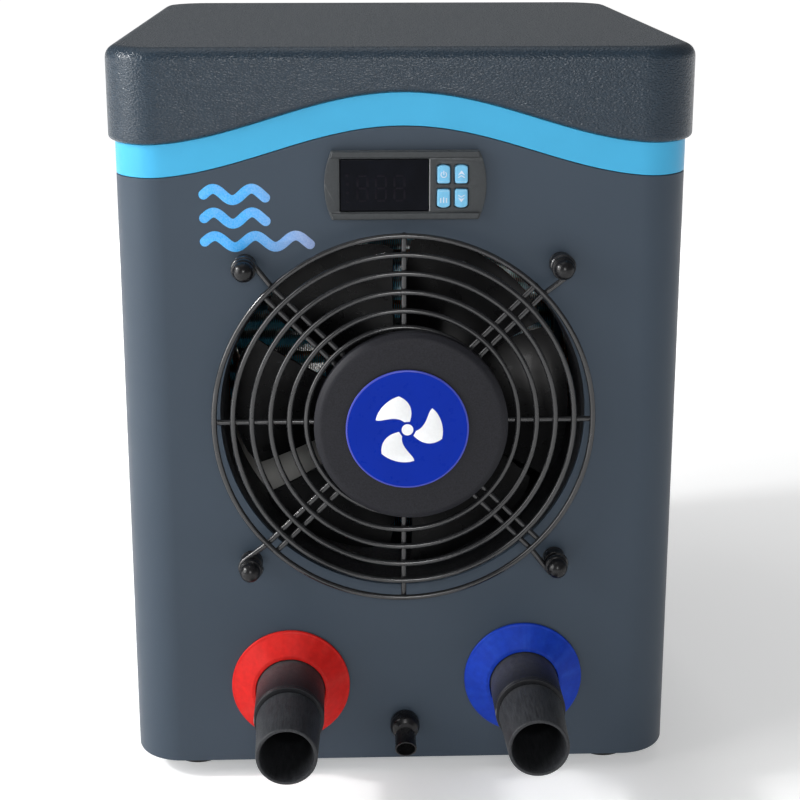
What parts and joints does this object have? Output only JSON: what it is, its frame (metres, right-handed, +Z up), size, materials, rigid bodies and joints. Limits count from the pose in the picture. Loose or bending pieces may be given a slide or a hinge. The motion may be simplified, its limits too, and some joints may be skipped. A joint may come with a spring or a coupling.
{
  "type": "pool heat pump",
  "caption": "Upright air-source pool water heater: moulded casing with a wavy-edged lid, guarded axial fan, keypad and two stepped hose tails low on the front.",
  "frame": {"origin": "middle of the whole unit's footprint, on the floor under the rubber feet", "axes": "+Z up, -Y out of the front panel along the hose tails, +X to the right as seen from the front"},
  "size_m": [0.311, 0.441, 0.412],
  "materials": {
    "casing": "satin blue-grey moulded plastic",
    "lid": "leather-grained grey plastic",
    "band": "satin pale blue inlay",
    "black": "black plastic",
    "gloss_black": "glossy black plastic",
    "hub": "matte charcoal plastic",
    "badge": "blue plastic badge with a pale rim",
    "wire": "powder-coated steel wire",
    "blade": "black moulded plastic",
    "motor": "black painted steel",
    "steel": "ground steel",
    "sheet": "zinc-coated sheet",
    "rubber": "black rubber",
    "red": "satin red plastic",
    "blue": "satin blue plastic",
    "bezel": "charcoal plastic",
    "key": "pale blue key caps",
    "screen": "dark smoked acrylic",
    "board": "green circuit board",
    "white": "white PVC",
    "titanium": "titanium tube",
    "copper": "copper tube",
    "fin": "blue coated aluminium fins",
    "compressor": "black enamelled steel"
  },
  "bodies": {
    "casing": {"front_casing": "casing", "rear_casing": "casing", "base_pan": "casing", "top_lid": "lid", "accent_band": "band", "rear_grille": "black", "fan_shroud": "black", "controller_housing": "black", "hose_adapter_left": "black", "hose_adapter_right": "black", "port_nut_left": "black", "port_nut_right": "black", "cable_gland": "black", "water_outlet_pipe": "black", "water_inlet_pipe": "black", "guard_post_top_left": "gloss_black", "guard_post_top_right": "gloss_black", "guard_post_bottom_left": "gloss_black", "guard_post_bottom_right": "gloss_black", "drain_nozzle": "gloss_black", "guard_hub_disc": "hub", "guard_badge": "badge", "fan_guard": "wire", "fan_motor": "motor", "bearing_front": "steel", "bearing_rear": "steel", "evaporator_plate_left": "sheet", "evaporator_plate_right": "sheet", "electrical_box": "sheet", "electrical_cover": "sheet", "run_capacitor": "sheet", "foot_front_left": "rubber", "foot_front_right": "rubber", "foot_rear_left": "rubber", "foot_rear_right": "rubber", "compressor_grommet_1": "rubber", "compressor_grommet_2": "rubber", "compressor_grommet_3": "rubber", "flange_red": "red", "flange_blue": "blue", "controller_bezel": "bezel", "display_window": "screen", "controller_board": "board", "control_board": "board", "heat_exchanger_shell": "white", "heat_exchanger_cap": "white", "titanium_coil": "titanium", "evaporator_tube": "copper", "discharge_line": "copper", "suction_line": "copper", "liquid_line": "copper", "evaporator_fins": "fin", "compressor": "compressor", "accumulator": "compressor"},
    "fan": {"fan_rotor": "blade", "fan_shaft": "steel"},
    "power_key": {"power_button": "key"},
    "up_key": {"up_button": "key"},
    "mode_key": {"mode_button": "key"},
    "down_key": {"down_button": "key"}
  },
  "joints": [
    {"name": "fan_spin", "type": "hinge", "parent": "casing", "child": "fan", "pos_m": [0, -0.1135, 0.215], "axis": [0, 1, 0], "continuous": true},
    {"name": "power_press", "type": "slide", "parent": "casing", "child": "power_key", "axis": [0, 1, 0], "range_m": [0, 0.0008], "stiffness_N_per_m": 600},
    {"name": "up_press", "type": "slide", "parent": "casing", "child": "up_key", "axis": [0, 1, 0], "range_m": [0, 0.0008], "stiffness_N_per_m": 600},
    {"name": "mode_press", "type": "slide", "parent": "casing", "child": "mode_key", "axis": [0, 1, 0], "range_m": [0, 0.0008], "stiffness_N_per_m": 600},
    {"name": "down_press", "type": "slide", "parent": "casing", "child": "down_key", "axis": [0, 1, 0], "range_m": [0, 0.0008], "stiffness_N_per_m": 600}
  ]
}
